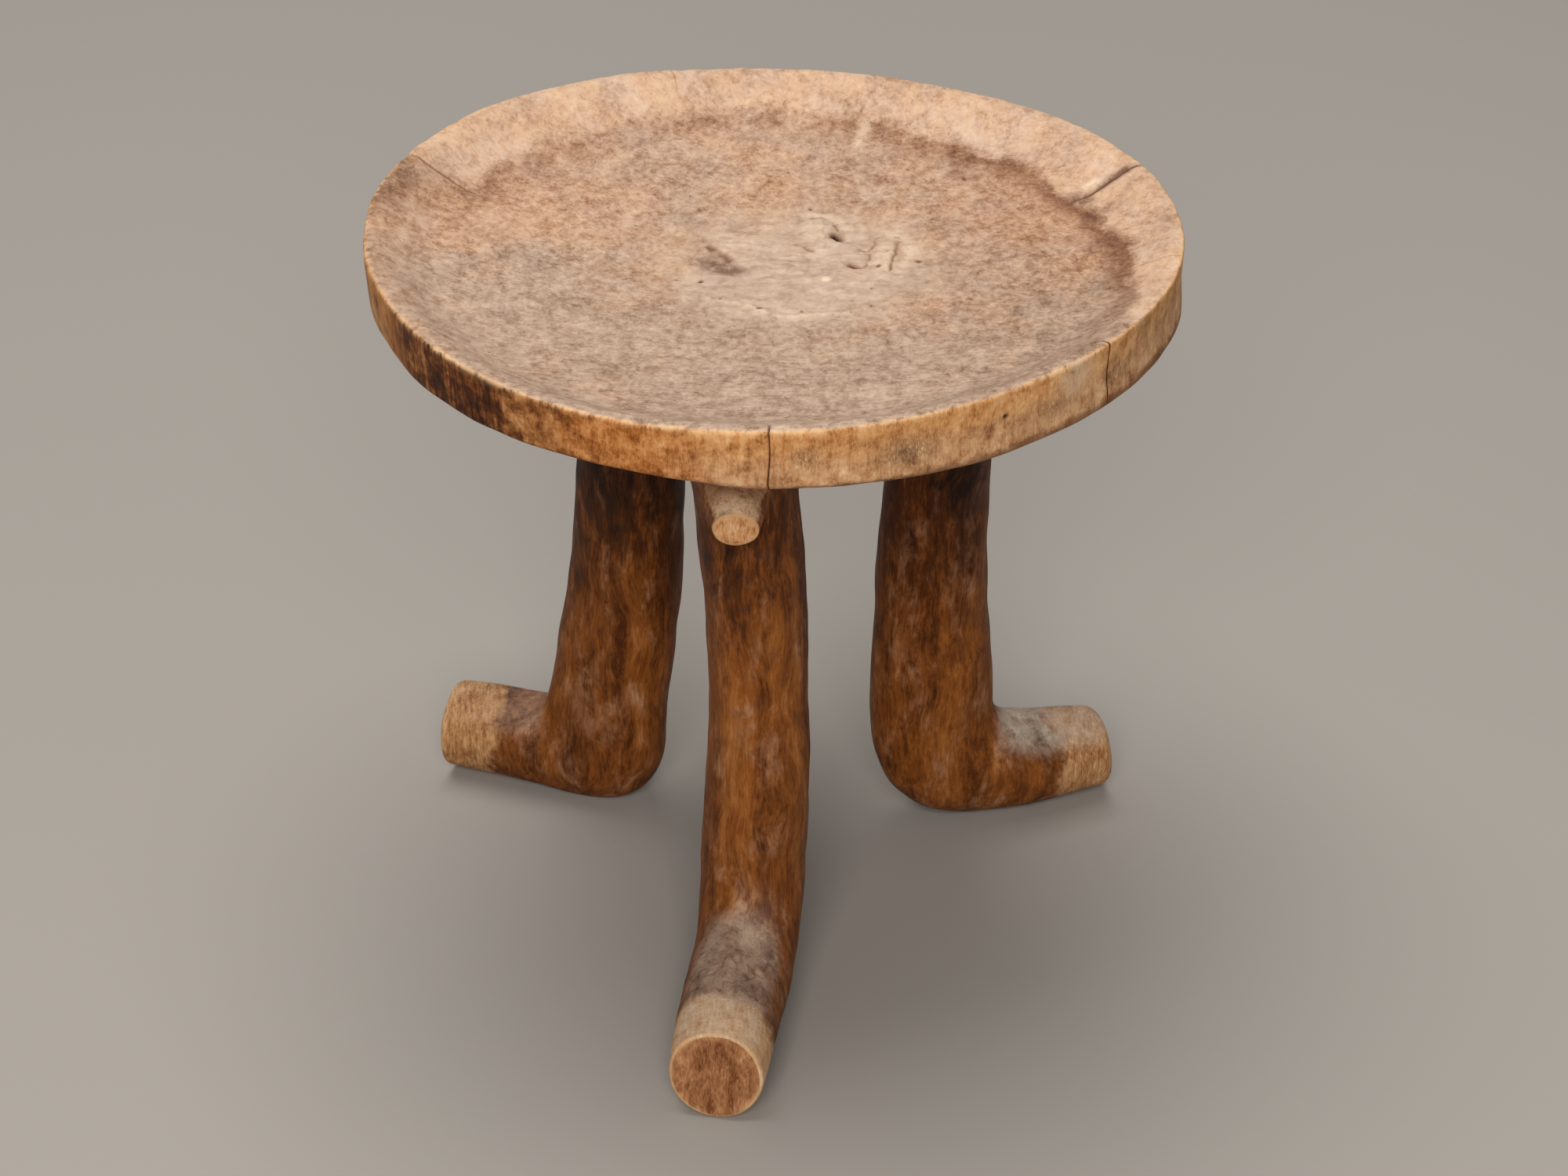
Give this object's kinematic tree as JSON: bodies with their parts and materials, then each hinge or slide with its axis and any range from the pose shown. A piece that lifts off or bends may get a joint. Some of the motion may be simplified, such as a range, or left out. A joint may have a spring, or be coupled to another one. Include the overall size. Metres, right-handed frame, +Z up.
{
  "type": "carved tripod stool",
  "caption": "Low round wooden stool with a shallow dished seat on bent legs that end in outward feet, with a short carrying lug under the rim.",
  "frame": {"origin": "on the floor, at the middle of the box the stool takes up; the seat's axis stands 9.45 mm behind it", "axes": "+Z up, -Y towards the foot of the front leg, +X to the right of someone facing that foot"},
  "size_m": [0.3398, 0.3586, 0.32],
  "materials": {
    "seat_wood": "hand-worn, dry, low sheen",
    "leg_wood": "hand-polished dark patina",
    "lug_wood": "hand-worn, low sheen"
  },
  "bodies": {
    "root": {"seat": "seat_wood", "left_leg": "leg_wood", "right_leg": "leg_wood", "front_leg": "leg_wood", "carrying_lug": "lug_wood"}
  },
  "joints": []
}
